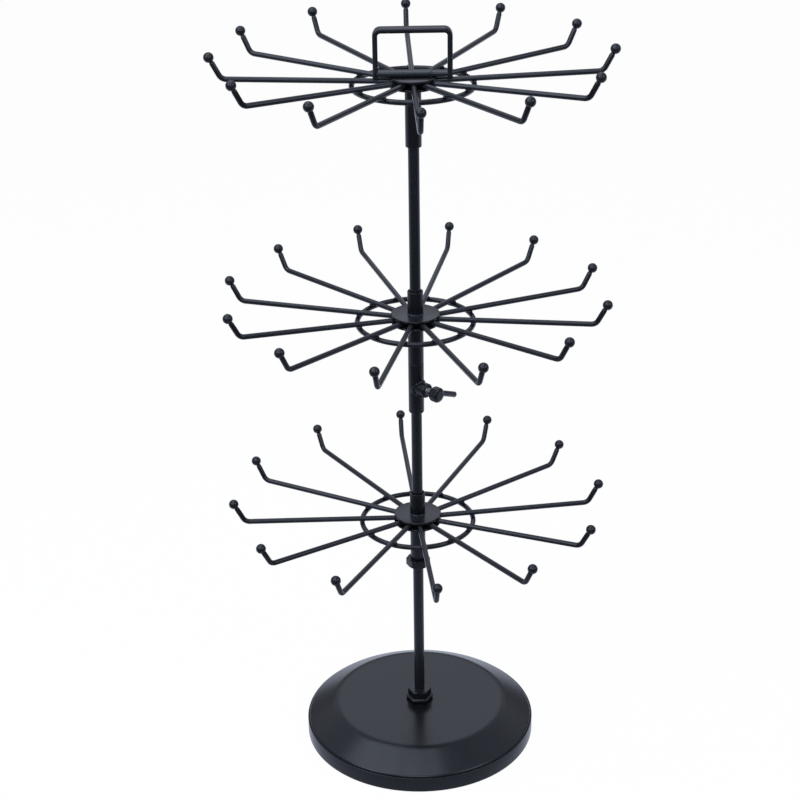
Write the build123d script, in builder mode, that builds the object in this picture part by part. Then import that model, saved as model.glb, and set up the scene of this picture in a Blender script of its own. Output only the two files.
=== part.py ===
from build123d import *
import os
from math import atan2, cos, radians, sin, tan

# Three-tier spinning display stand in millimetres, +Z up.
# The origin is on the surface that the stand rests on, under the pole's axis.
# The person who uses it looks along +Y.

# Base: a shallow pan, a pressed cover, a ballast disc and four pads
base_radius = 76.0
rim_ground_gap = 0.8
rim_height = 11.0
rim_wall = 0.8
pan_floor_sheet = 1.0
pad_height = 2.7
pad_radius = 6.0
pad_edge_gap = 6.2
pad_count = 4
cover_fit_clearance = 0.1
cover_sheet = 1.2
cover_height = 22.4
cover_skirt_radius_top = 56.5
cover_shoulder_round = 11.0
cover_step = 0.9
ballast_pad_inset = 2.0
ballast_height = 8.0

# Pole and the nuts that hold it
pole_radius = 3.4
pole_tip_round = 2.6
pole_end_chamfer = 0.8
pole_foot_drop = 3.0
flange_nut_flats = 15.9
flange_nut_height = 3.0
lock_nut_flats = 14.0
lock_nut_height = 5.0
stop_nut_height = 5.0
hex_sides = 6
nut_corner_chamfer = 0.7

# Tiers: height of each tier's wires at their roots, and the turn of its first wire from +X
lower_plane_height = 162.2
middle_plane_height = 302.1
upper_plane_height = 451.8
lower_turn_angle = 4.9
middle_turn_angle = 18.1
upper_turn_angle = 1.4
hook_count = 12

# Wire hooks: wires and balls are eight-sided, with a flat side up, to keep the model light
wire_radius = 1.65
wire_sides = 8
wire_slope = 2.0
hook_root_radius = 6.9
tip_circle_radius = 118.0
tip_rise = 13.0
upturn_angle = 62.4
bend_radius = 5.0
ball_radius = 3.1

# Hubs
hub_tube_radius = 4.88
hub_bore_clearance = 0.6
hub_tube_length = 48.2
hub_tube_rise = 18.0
upper_hub_tube_length = 41.5
disc_radius = 15.1
upper_disc_radius = 14.2
disc_sheet = 1.4
support_ring_radius = 35.9
pivot_gap = 0.3

# Sliding clamp collar under the middle tier
collar_length = 34.0
collar_bore_clearance = 0.2
clamp_height_on_collar = 17.3
clamp_azimuth = -44.0
boss_radius = 4.6
boss_reach = 10.2
boss_end_chamfer = 0.9
screw_radius = 2.5
screw_clearance = 0.3
screw_tip_gap = 0.2
screw_tip_chamfer = 0.6
head_start = 14.0
head_length = 6.4
head_flats = 8.8
head_corner_chamfer = 1.0
lever_radius = 1.85
lever_reach = 18.2
lever_seat_depth = 3.0
lever_tilt = 23.2
lever_offset = 1.4
lever_end_chamfer = 0.3

# Carry handle of flat bar, welded on the upper hub
handle_span = 43.5
handle_rise = 30.5
handle_thickness = 3.0
handle_depth = 7.2
handle_corner_radius = 3.3
handle_edge_chamfer = 0.8

# Heights and sizes that follow from the ones above
pan_floor_top = pad_height + pan_floor_sheet
rim_inner_radius = base_radius - rim_wall
pad_circle_radius = rim_inner_radius - pad_edge_gap - pad_radius
ballast_radius = pad_circle_radius - pad_radius - ballast_pad_inset
cover_radius = rim_inner_radius - cover_fit_clearance
cover_skirt_height = rim_height + cover_step
cover_underside = cover_height - cover_sheet
cover_inner_radius = cover_radius - cover_sheet
cover_slant = atan2(cover_height - cover_skirt_height, cover_radius - cover_skirt_radius_top)
cover_slant_drop = cover_sheet * (1 / cos(cover_slant) - tan(cover_slant))
cover_slant_inset = cover_sheet * tan(cover_slant / 2)
underside_nut_height = lock_nut_height
underside_nut_base = cover_underside - underside_nut_height
lock_nut_base = cover_height + flange_nut_height
pole_foot = underside_nut_base - pole_foot_drop
wire_lean = tan(radians(wire_slope))
wire_half_height = wire_radius / cos(radians(wire_slope))
hub_tube_drop = hub_tube_length - hub_tube_rise
stop_nut_top = lower_plane_height - hub_tube_drop
collar_top = middle_plane_height - hub_tube_drop
collar_bottom = collar_top - collar_length
clamp_height = collar_bottom + clamp_height_on_collar
upper_disc_rise = (upper_disc_radius - hook_root_radius) * wire_lean
upper_disc_underside = upper_plane_height + upper_disc_rise + wire_half_height
pole_top = upper_disc_underside - pivot_gap
upper_tube_bottom = upper_disc_underside - upper_hub_tube_length
hub_bore_radius = pole_radius + hub_bore_clearance
collar_bore_radius = pole_radius + collar_bore_clearance
screw_tip = pole_radius + screw_tip_gap
tip_upturn_run = tip_rise / tan(radians(upturn_angle))
bend_vertex_radius = tip_circle_radius - tip_upturn_run
bend_vertex_rise = (bend_vertex_radius - hook_root_radius) * wire_lean
tip_height = bend_vertex_rise + tip_rise
ball_band = ball_radius * tan(radians(180 / wire_sides))
ball_foot = ball_band + ball_radius - wire_radius

os.makedirs("parts", exist_ok=True)


def hex_nut(across_flats, height, base_height):
    """Return a hex nut round the pole with its outer corners chamfered at both ends."""
    corner_radius = across_flats / 2 / cos(radians(180 / hex_sides))
    with BuildPart() as nut:
        with BuildSketch(Plane.XY.offset(base_height)):
            RegularPolygon(across_flats / 2, hex_sides, major_radius=False)
            Circle(pole_radius, mode=Mode.SUBTRACT)
        extrude(amount=height)
        with BuildSketch(Plane.XZ):
            with BuildLine():
                Polyline(
                    (0, base_height),
                    (corner_radius - nut_corner_chamfer, base_height),
                    (corner_radius, base_height + nut_corner_chamfer / 2),
                    (corner_radius, base_height + height - nut_corner_chamfer / 2),
                    (corner_radius - nut_corner_chamfer, base_height + height),
                    (0, base_height + height),
                    close=True,
                )
            make_face()
        revolve(axis=Axis.Z, mode=Mode.INTERSECT)
    return nut.part


def round_tube(outer_radius, bore_radius, base_height, length):
    """Return an upright tube on the pole's axis."""
    with BuildPart() as tube:
        with BuildSketch(Plane.XY.offset(base_height)):
            Circle(outer_radius)
            Circle(bore_radius, mode=Mode.SUBTRACT)
        extrude(amount=length)
    return tube.part


def wire_rise(radius):
    """Return how far a wire's middle has risen at a distance from the pole's axis."""
    return (radius - hook_root_radius) * wire_lean


def hub_disc_pair(plane_height, radius, tube_radius, upper_disc_is_closed):
    """Return the two round plates that hold the wires of one tier between them."""
    with BuildPart() as discs:
        with BuildSketch(Plane.XY.offset(plane_height + wire_rise(radius) + wire_half_height)):
            Circle(radius)
            if not upper_disc_is_closed:
                Circle(tube_radius, mode=Mode.SUBTRACT)
        extrude(amount=disc_sheet)
        with BuildSketch(Plane.XY.offset(plane_height - wire_radius - disc_sheet)):
            Circle(radius)
            Circle(tube_radius, mode=Mode.SUBTRACT)
        extrude(amount=disc_sheet)
    return discs.part


def wire_section(radius, lean=0.0):
    """Draw the many-sided section of a wire or a ball, with a flat side up unless it leans."""
    return RegularPolygon(radius, wire_sides, major_radius=False, rotation=180 / wire_sides + lean)


def support_ring(plane_height):
    """Return the wire ring that is welded under the wires of one tier."""
    ring_height = plane_height + wire_rise(support_ring_radius) - 2 * wire_half_height
    with BuildPart() as ring:
        with BuildSketch(Plane.XZ):
            with Locations((support_ring_radius, ring_height)):
                wire_section(wire_radius, wire_slope)
        revolve(axis=Axis.Z)
    return ring.part


def wire_hook(plane_height, azimuth):
    """Return one radial wire with its upturned end and its ball tip."""
    outward = Vector(cos(radians(azimuth)), sin(radians(azimuth)), 0)
    sideways = Vector(sin(radians(azimuth)), -cos(radians(azimuth)), 0)
    hook_plane = Plane(origin=(0, 0, plane_height), x_dir=outward, z_dir=sideways)
    wire_end = (
        tip_circle_radius - ball_foot * cos(radians(upturn_angle)),
        tip_height - ball_foot * sin(radians(upturn_angle)),
    )
    with BuildPart() as hook:
        with BuildLine(hook_plane) as route:
            FilletPolyline(
                (hook_root_radius, 0),
                (bend_vertex_radius, bend_vertex_rise),
                wire_end,
                radius=bend_radius,
            )
        with BuildSketch(Plane(origin=route.line @ 0, x_dir=sideways, z_dir=route.line % 0)):
            wire_section(wire_radius)
        sweep(path=route.line)
        ball_plane = Plane(origin=route.line @ 1, x_dir=sideways, z_dir=route.line % 1)
        for height, radius in (
            (0, wire_radius),
            (ball_foot - ball_band, ball_radius),
            (ball_foot + ball_band, ball_radius),
            (ball_foot + ball_radius, ball_band),
        ):
            with BuildSketch(ball_plane.offset(height)):
                wire_section(radius)
        loft(ruled=True)
    return hook.part


# Pan that closes the base from below; its upright wall is the rim that shows
with BuildPart() as base_pan:
    with BuildSketch(Plane.XZ):
        with BuildLine():
            Polyline(
                (0, pad_height),
                (rim_inner_radius, pad_height),
                (rim_inner_radius, rim_ground_gap),
                (base_radius, rim_ground_gap),
                (base_radius, rim_height),
                (rim_inner_radius, rim_height),
                (rim_inner_radius, pan_floor_top),
                (0, pan_floor_top),
                close=True,
            )
        make_face()
    revolve(axis=Axis.Z)

# Pressed cover with a flat top, a sloping skirt and a short wall inside the rim
with BuildPart() as base_cover:
    with BuildSketch(Plane.XZ):
        with BuildLine():
            Polyline(
                (0, pan_floor_top),
                (cover_radius, pan_floor_top),
                (cover_radius, cover_skirt_height),
                (cover_skirt_radius_top, cover_height),
                (0, cover_height),
                close=True,
            )
        make_face()
    revolve(axis=Axis.Z)
    fillet(base_cover.edges().filter_by(GeomType.CIRCLE).sort_by(Axis.Z)[-1], cover_shoulder_round)
    with BuildSketch(Plane.XZ):
        with BuildLine():
            Polyline(
                (0, pan_floor_top),
                (cover_inner_radius, pan_floor_top),
                (cover_inner_radius, cover_skirt_height - cover_slant_drop),
                (cover_skirt_radius_top - cover_slant_inset, cover_underside),
                (0, cover_underside),
                close=True,
            )
        make_face()
    revolve(axis=Axis.Z, mode=Mode.SUBTRACT)
    with BuildSketch(Plane.XY.offset(cover_underside)):
        Circle(pole_radius)
    extrude(amount=cover_sheet, mode=Mode.SUBTRACT)

# Steel disc on the pan's floor that keeps the loaded stand from tipping
with BuildPart() as ballast:
    with BuildSketch(Plane.XY.offset(pan_floor_top)):
        Circle(ballast_radius)
    extrude(amount=ballast_height)

# Rubber pads in the pan's recessed underside
with BuildPart() as foot_pads:
    with BuildSketch(Plane.XY):
        with PolarLocations(pad_circle_radius, pad_count, start_angle=180 / pad_count):
            Circle(pad_radius)
    extrude(amount=pad_height)

# Pole from inside the base to the underside of the closed upper disc
with BuildPart() as pole:
    with BuildSketch(Plane.XY.offset(pole_foot)):
        Circle(pole_radius)
    extrude(amount=pole_top - pole_foot)
    fillet(pole.edges().filter_by(GeomType.CIRCLE).sort_by(Axis.Z)[-1], pole_tip_round)
    chamfer(pole.edges().filter_by(GeomType.CIRCLE).sort_by(Axis.Z)[0], pole_end_chamfer)

# Sliding collar with a hole for its clamp screw
clamp_direction = Vector(cos(radians(clamp_azimuth)), sin(radians(clamp_azimuth)), 0)
clamp_plane = Plane(origin=(0, 0, clamp_height), x_dir=(0, 0, 1), z_dir=clamp_direction)
clamp_axis = Axis(clamp_plane.origin, clamp_direction)
with BuildPart() as clamp_collar:
    with BuildSketch(Plane.XY.offset(collar_bottom)):
        Circle(hub_tube_radius)
        Circle(collar_bore_radius, mode=Mode.SUBTRACT)
    extrude(amount=collar_length)
    with BuildSketch(clamp_plane):
        Circle(screw_radius + screw_clearance)
    extrude(amount=hub_tube_radius, mode=Mode.SUBTRACT)

# Threaded boss that is welded on the side of the collar
with BuildPart() as clamp_boss:
    with BuildSketch(clamp_plane):
        Circle(boss_radius)
    extrude(amount=boss_reach)
    chamfer(clamp_boss.faces().sort_by(clamp_axis)[-1].edges(), boss_end_chamfer)
    with BuildSketch(Plane.XY.offset(collar_bottom)):
        Circle(hub_tube_radius)
    extrude(amount=collar_length, mode=Mode.SUBTRACT)
    with BuildSketch(clamp_plane):
        Circle(screw_radius + screw_clearance)
    extrude(amount=boss_reach, mode=Mode.SUBTRACT)

# Threaded shank of the clamp screw, its tip against the pole
with BuildPart() as clamp_screw:
    with BuildSketch(clamp_plane.offset(screw_tip)):
        Circle(screw_radius)
    extrude(amount=head_start - screw_tip)
    chamfer(clamp_screw.edges().filter_by(GeomType.CIRCLE).sort_by(clamp_axis)[0], screw_tip_chamfer)

# Lever that sticks out of one side of the screw head, square to the screw and a little above its axis
head_middle = clamp_plane.origin + clamp_direction * (head_start + head_length / 2)
lever_middle = head_middle + Vector(0, 0, lever_offset)
level_side = Vector(-sin(radians(clamp_azimuth)), cos(radians(clamp_azimuth)), 0)
lever_direction = level_side * cos(radians(lever_tilt)) - Vector(0, 0, 1) * sin(radians(lever_tilt))
lever_plane = Plane(origin=lever_middle - lever_direction * lever_seat_depth, z_dir=lever_direction)
lever_axis = Axis(lever_plane.origin, lever_direction)
with BuildPart() as screw_lever:
    with BuildSketch(lever_plane):
        Circle(lever_radius)
    extrude(amount=lever_seat_depth + lever_reach)
    chamfer(screw_lever.edges().filter_by(GeomType.CIRCLE).sort_by(lever_axis)[-1], lever_end_chamfer)

# Hexagonal screw head with chamfered ends and a blind hole for the lever
with BuildPart() as screw_head:
    with BuildSketch(clamp_plane.offset(head_start)):
        RegularPolygon(head_flats / 2, hex_sides, major_radius=False)
    extrude(amount=head_length)
    head_ends = screw_head.faces().sort_by(clamp_axis)
    chamfer(head_ends[0].edges() + head_ends[-1].edges(), head_corner_chamfer)
    with BuildSketch(lever_plane):
        Circle(lever_radius)
    extrude(amount=lever_seat_depth + lever_reach, mode=Mode.SUBTRACT)

# Flat bar bent into a handle that stands on two wires and lies across the upper disc
handle_foot = upper_plane_height + wire_rise((handle_span + handle_thickness) / 2) + wire_half_height
handle_top = upper_plane_height + handle_rise
strap_base = upper_disc_underside + disc_sheet
with BuildPart() as carry_handle:
    with BuildLine(Plane.XZ) as handle_route:
        FilletPolyline(
            (-handle_span / 2, handle_foot),
            (-handle_span / 2, handle_top),
            (handle_span / 2, handle_top),
            (handle_span / 2, handle_foot),
            radius=handle_corner_radius,
        )
    with BuildSketch(Plane(origin=(-handle_span / 2, 0, handle_foot))) as bar:
        Rectangle(handle_thickness, handle_depth)
        chamfer(bar.vertices(), handle_edge_chamfer)
    sweep(path=handle_route.line)
    with BuildSketch(Plane.YZ.offset(-handle_span / 2)) as strap:
        with Locations((0, strap_base + handle_thickness / 2)):
            Rectangle(handle_depth, handle_thickness)
        chamfer(strap.vertices(), handle_edge_chamfer)
    extrude(amount=handle_span)

base_pan.part.label = "base_pan"
export_step(base_pan.part, "parts/base_pan.step")
base_cover.part.label = "base_cover"
export_step(base_cover.part, "parts/base_cover.step")
ballast.part.label = "ballast"
export_step(ballast.part, "parts/ballast.step")
foot_pads.part.label = "foot_pads"
export_step(foot_pads.part, "parts/foot_pads.step")
pole.part.label = "pole"
export_step(pole.part, "parts/pole.step")
clamp_collar.part.label = "clamp_collar"
export_step(clamp_collar.part, "parts/clamp_collar.step")
clamp_boss.part.label = "clamp_boss"
export_step(clamp_boss.part, "parts/clamp_boss.step")
clamp_screw.part.label = "clamp_screw"
export_step(clamp_screw.part, "parts/clamp_screw.step")
screw_lever.part.label = "screw_lever"
export_step(screw_lever.part, "parts/screw_lever.step")
screw_head.part.label = "screw_head"
export_step(screw_head.part, "parts/screw_head.step")
carry_handle.part.label = "carry_handle"
export_step(carry_handle.part, "parts/carry_handle.step")

# Nuts on the pole: each has its width across flats, height and lower face
nuts = {
    "base_flange_nut": (flange_nut_flats, flange_nut_height, cover_height),
    "pole_lock_nut": (lock_nut_flats, lock_nut_height, lock_nut_base),
    "underside_nut": (lock_nut_flats, underside_nut_height, underside_nut_base),
    "stop_nut": (lock_nut_flats, stop_nut_height, stop_nut_top - stop_nut_height),
}
for nut_name, (across_flats, height, base_height) in nuts.items():
    nut = hex_nut(across_flats, height, base_height)
    nut.label = nut_name
    export_step(nut, f"parts/{nut_name}.step")

# Tiers: wire plane, first wire's turn, disc radius, hub tube's foot and length
tiers = {
    "lower": (lower_plane_height, lower_turn_angle, disc_radius, stop_nut_top, hub_tube_length),
    "middle": (middle_plane_height, middle_turn_angle, disc_radius, collar_top, hub_tube_length),
    "upper": (
        upper_plane_height, upper_turn_angle, upper_disc_radius, upper_tube_bottom, upper_hub_tube_length,
    ),
}
for tier_name, (plane_height, turn, radius, tube_foot, tube_length) in tiers.items():
    tier_pieces = {
        "hub_tube": round_tube(hub_tube_radius, hub_bore_radius, tube_foot, tube_length),
        "hub_discs": hub_disc_pair(plane_height, radius, hub_tube_radius, tier_name == "upper"),
        "support_ring": support_ring(plane_height),
    }
    for number in range(hook_count):
        azimuth = turn + number * 360 / hook_count
        tier_pieces[f"hook_{number + 1:02d}"] = wire_hook(plane_height, azimuth)
    for piece_name, piece in tier_pieces.items():
        piece.label = f"{tier_name}_{piece_name}"
        export_step(piece, f"parts/{tier_name}_{piece_name}.step")
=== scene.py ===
"""Dress the three-tier spinning stand and set it in a pale studio."""
import logging
import math
import random
from dataclasses import dataclass, field
from enum import Enum
from typing import Any, Iterable, Sequence

import bmesh
import bpy
from mathutils import Matrix, Vector


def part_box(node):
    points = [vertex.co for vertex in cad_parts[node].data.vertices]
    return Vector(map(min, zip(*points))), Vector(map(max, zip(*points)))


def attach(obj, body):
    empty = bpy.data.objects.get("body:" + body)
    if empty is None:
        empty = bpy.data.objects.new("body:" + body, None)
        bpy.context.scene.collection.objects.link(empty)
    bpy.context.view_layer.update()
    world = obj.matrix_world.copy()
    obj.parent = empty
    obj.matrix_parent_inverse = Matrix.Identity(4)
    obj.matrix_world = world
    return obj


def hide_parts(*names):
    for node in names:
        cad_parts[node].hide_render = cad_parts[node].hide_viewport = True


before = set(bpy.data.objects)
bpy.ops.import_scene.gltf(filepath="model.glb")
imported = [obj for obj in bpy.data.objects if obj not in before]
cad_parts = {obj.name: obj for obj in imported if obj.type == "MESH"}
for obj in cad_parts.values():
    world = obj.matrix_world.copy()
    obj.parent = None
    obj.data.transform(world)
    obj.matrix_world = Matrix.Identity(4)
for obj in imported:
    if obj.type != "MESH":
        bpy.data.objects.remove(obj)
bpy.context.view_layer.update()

log = logging.getLogger("stand")

MILLIMETRE = 0.001
SMOOTH_ANGLE = math.radians(32.0)
IMAGE_SIDE = 800
FULL_TURN = 2 * math.pi
HEXAGON_SIDE = FULL_TURN / 6
WHITE = "#ffffff"

Pair = tuple[float, float]
Triple = tuple[float, float, float]


class Slot(Enum):
    """The record's finishes that the pieces made here can be repainted with."""

    POWDER_COAT = "powder_coat"
    ZINC_PLATE = "zinc_plate"
    RUBBER = "rubber"


class HubTop(Enum):
    """How the upper disc of a tier ends at the pole."""

    OPEN = "the tube and the pole run through it"
    CLOSED = "it is a plain disc that rests on the pole's end"


# Shapes in millimetres


def round_corners(corners: Sequence[Triple], closed: bool = True, steps: int = 6) -> list[Pair]:
    """Trace a line through corners, each rounded by its own radius.

    Args:
        corners: across, up and radius of each corner; a radius of 0 stays sharp.
        closed: whether the last corner joins the first.
        steps: straight pieces in each round corner.

    Returns:
        The points of the traced line.
    """
    traced: list[Pair] = []
    count = len(corners)
    for index, (across, up, radius) in enumerate(corners):
        here = Vector((across, up))
        is_end = not closed and index in (0, count - 1)
        if radius <= 0 or is_end:
            traced.append((across, up))
            continue
        before = (Vector(corners[index - 1][:2]) - here).normalized()
        after = (Vector(corners[(index + 1) % count][:2]) - here).normalized()
        half = before.angle(after) / 2
        centre = here + (before + after).normalized() * (radius / math.sin(half))
        start = here + before * (radius / math.tan(half)) - centre
        finish = here + after * (radius / math.tan(half)) - centre
        first = math.atan2(start.y, start.x)
        swing = math.atan2(start.x * finish.y - start.y * finish.x, start.dot(finish))
        for step in range(steps + 1):
            angle = first + swing * step / steps
            traced.append((centre.x + radius * math.cos(angle), centre.y + radius * math.sin(angle)))
    return traced


def circle(radius: float, steps: int) -> list[Pair]:
    """Return the points of a circle."""
    angles = [FULL_TURN * step / steps for step in range(steps)]
    return [(radius * math.cos(angle), radius * math.sin(angle)) for angle in angles]


def bar_section(width: float, height: float, corner: float) -> list[Pair]:
    """Trace the section of a flat bar with rolled corners.

    Args:
        width: its longer side.
        height: its shorter side.
        corner: the rounding of its corners.

    Returns:
        The points of the section, about its middle.
    """
    half_width = width / 2
    half_height = height / 2
    return round_corners([
        (-half_width, -half_height, corner),
        (half_width, -half_height, corner),
        (half_width, half_height, corner),
        (-half_width, half_height, corner),
    ])


def hexagon_radius(angle: float, across_flats: float) -> float:
    """Return how far a hexagon's edge is from its middle in one direction."""
    from_flat = (angle + HEXAGON_SIDE / 2) % HEXAGON_SIDE - HEXAGON_SIDE / 2
    return across_flats / 2 / math.cos(from_flat)


@dataclass
class MeshDraft:
    """Points and faces of one piece, gathered in millimetres before its mesh is made."""

    points: list[Vector] = field(default_factory=list)
    faces: list[list[int]] = field(default_factory=list)

    def ring(self, points: Iterable[Vector]) -> list[int]:
        """Add points to the draft.

        Args:
            points: where they are.

        Returns:
            Their numbers in the draft.
        """
        first = len(self.points)
        self.points.extend(points)
        return list(range(first, len(self.points)))

    def bridge(self, one: list[int], two: list[int]) -> None:
        """Join two rings of equally many points, or a ring and a single point.

        Args:
            one: the numbers of the first ring's points.
            two: the numbers of the second ring's points.
        """
        count = max(len(one), len(two))
        if count == 1:
            return
        for index in range(count):
            following = (index + 1) % count
            corners = [
                one[index % len(one)], one[following % len(one)],
                two[following % len(two)], two[index % len(two)],
            ]
            self.faces.append(list(dict.fromkeys(corners)))

    def skin(self, rings: Sequence[Sequence[Vector]], closed: bool = False,
             capped: bool = False) -> None:
        """Cover a row of rings with faces.

        Args:
            rings: the rings in order; one with a single point is a tip.
            closed: whether the last ring joins the first.
            capped: whether the first and last ring get a face each.
        """
        numbered = [self.ring(points) for points in rings]
        following = numbered[1:] + numbered[:1] if closed else numbered[1:]
        for one, two in zip(numbered, following):
            self.bridge(one, two)
        if capped:
            self.faces.extend(numbers for numbers in (numbered[0], numbered[-1]) if len(numbers) > 2)

    def lathe(self, profile: Sequence[Pair], place: Matrix | None = None, steps: int = 64) -> None:
        """Turn a closed profile about an axis.

        Args:
            profile: radius and height of each point; a radius of 0 is a tip on the axis.
            place: where the axis stands, or None for the pole's own axis.
            steps: faces round the axis.
        """
        where = place or Matrix.Identity(4)
        rings = []
        for radius, height in profile:
            spots = circle(radius, steps) if radius > 0 else [(0.0, 0.0)]
            rings.append([where @ Vector((x, y, height)) for x, y in spots])
        self.skin(rings, closed=True)

    def sweep(self, path: Sequence[Vector], outline: Sequence[Pair], sides: Sequence[Vector],
              scales: Sequence[float] | None = None, closed: bool = False,
              capped: bool = False) -> None:
        """Carry an outline along a path.

        Args:
            path: the middle of each ring.
            outline: the section's points, across and up.
            sides: the direction of across at each point of the path.
            scales: the section's size at each point; 0 draws it into a tip.
            closed: whether the path's end joins its start.
            capped: whether both ends get a face.
        """
        sizes = scales or [1.0] * len(path)
        rings = []
        for index, (middle, side, size) in enumerate(zip(path, sides, sizes)):
            before = path[index - 1] if closed or index else middle
            after = path[(index + 1) % len(path)] if closed or index < len(path) - 1 else middle
            up = side.cross(after - before).normalized()
            spots = outline if size > 0 else [(0.0, 0.0)]
            rings.append([middle + side * (size * x) + up * (size * y) for x, y in spots])
        self.skin(rings, closed, capped)

    def lump(self, middle: Vector, along: Vector, up: Vector, size: Triple,
             dice: random.Random) -> None:
        """Add a cooled drop of weld: a low uneven mound.

        Args:
            middle: the mound's middle.
            along: its long direction.
            up: the direction that it rises in.
            size: half its length, half its width and half its height.
            dice: the source of its small unevenness.
        """
        across = up.cross(along).normalized()
        half_length, half_width, half_height = size
        rows = 5
        steps = 10
        least, most = 0.9, 1.1
        rings = []
        for row in range(rows + 1):
            latitude = math.pi * (row / rows - 0.5)
            reach = math.cos(latitude)
            if row in (0, rows):
                rings.append([middle + up * (half_height * math.sin(latitude))])
                continue
            ring = []
            for step in range(steps):
                angle = FULL_TURN * step / steps
                bulge = reach * dice.uniform(least, most)
                ring.append(middle + along * (half_length * bulge * math.cos(angle))
                            + across * (half_width * bulge * math.sin(angle))
                            + up * (half_height * math.sin(latitude)))
            rings.append(ring)
        self.skin(rings)

    def make(self, name: str, material: bpy.types.Material) -> bpy.types.Object:
        """Turn the draft into an object whose edges stay crisp past the smooth angle.

        Args:
            name: the piece's name.
            material: its finish.

        Returns:
            The object, in metres, in the stand's own frame.
        """
        mesh = bpy.data.meshes.new(name)
        mesh.from_pydata([point * MILLIMETRE for point in self.points], [], self.faces)
        shape = bmesh.new()
        shape.from_mesh(mesh)
        bmesh.ops.recalc_face_normals(shape, faces=shape.faces)
        shape.to_mesh(mesh)
        shape.free()
        mesh.shade_smooth()
        mesh.set_sharp_from_angle(angle=SMOOTH_ANGLE)
        mesh.materials.append(material)
        piece = bpy.data.objects.new(name, mesh)
        bpy.context.scene.collection.objects.link(piece)
        return piece


def place_piece(piece: bpy.types.Object, body: str, slot: Slot, *nodes: str) -> None:
    """Fix a piece to its body and hide the nodes that it stands for.

    Args:
        piece: the finished object.
        body: the body that carries it.
        slot: not used.
        nodes: the nodes that it stands for.
    """
    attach(piece, body)
    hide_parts(*nodes)
    log.info("%s rides on %s", piece.name, body)


def dress_node(node: str, material: bpy.types.Material) -> None:
    """Give a finish to a node that is shown as the part has it.

    Args:
        node: the node's name.
        material: its finish.
    """
    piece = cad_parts[node]
    piece.data.materials.clear()
    piece.data.materials.append(material)
    log.info("%s keeps its own shape", node)


def node_box(node: str) -> tuple[Vector, Vector]:
    """Return a node's lowest and highest corner in millimetres."""
    low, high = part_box(node)
    return low / MILLIMETRE, high / MILLIMETRE


# Finishes

# The mix node's sockets share their names, so they are told apart by number
NUMBER_A, NUMBER_B = 2, 3
COLOUR_A, COLOUR_B = 6, 7
MIXED_NUMBER = 0
MIXED_COLOUR = 2


def linear_colour(code: str) -> tuple[float, float, float, float]:
    """Turn an sRGB colour into linear values.

    Args:
        code: the colour in hex, such as #2a2b30.

    Returns:
        Red, green and blue, and 1 for opaque.
    """
    values = [int(code[start:start + 2], 16) / 255 for start in (1, 3, 5)]
    linear = [v / 12.92 if v <= 0.04045 else ((v + 0.055) / 1.055) ** 2.4 for v in values]
    return linear[0], linear[1], linear[2], 1.0


def add_node(tree: bpy.types.NodeTree, kind: str, inputs: dict[str | int, Any] | None = None,
             **settings: Any) -> bpy.types.Node:
    """Add a shader node with its settings, values and links.

    Args:
        tree: the material's or world's node tree.
        kind: the node's type.
        inputs: a value, or another node's output, for each named or numbered socket.
        settings: the node's own options.

    Returns:
        The new node.
    """
    node = tree.nodes.new(kind)
    for name, value in settings.items():
        setattr(node, name, value)
    for socket, value in (inputs or {}).items():
        if isinstance(value, bpy.types.NodeSocket):
            tree.links.new(value, node.inputs[socket])
        else:
            node.inputs[socket].default_value = value
    return node


def grain_scale(size: float) -> float:
    """Return the texture scale that draws grains of a size in millimetres."""
    return 1 / (size * MILLIMETRE)


def new_material(name: str) -> tuple[bpy.types.Material, bpy.types.NodeTree]:
    """Add a material that has no nodes yet.

    Args:
        name: the material's name.

    Returns:
        The material and its node tree.
    """
    material = bpy.data.materials.new(name)
    material.use_nodes = True
    material.node_tree.nodes.clear()
    return material, material.node_tree


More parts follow.
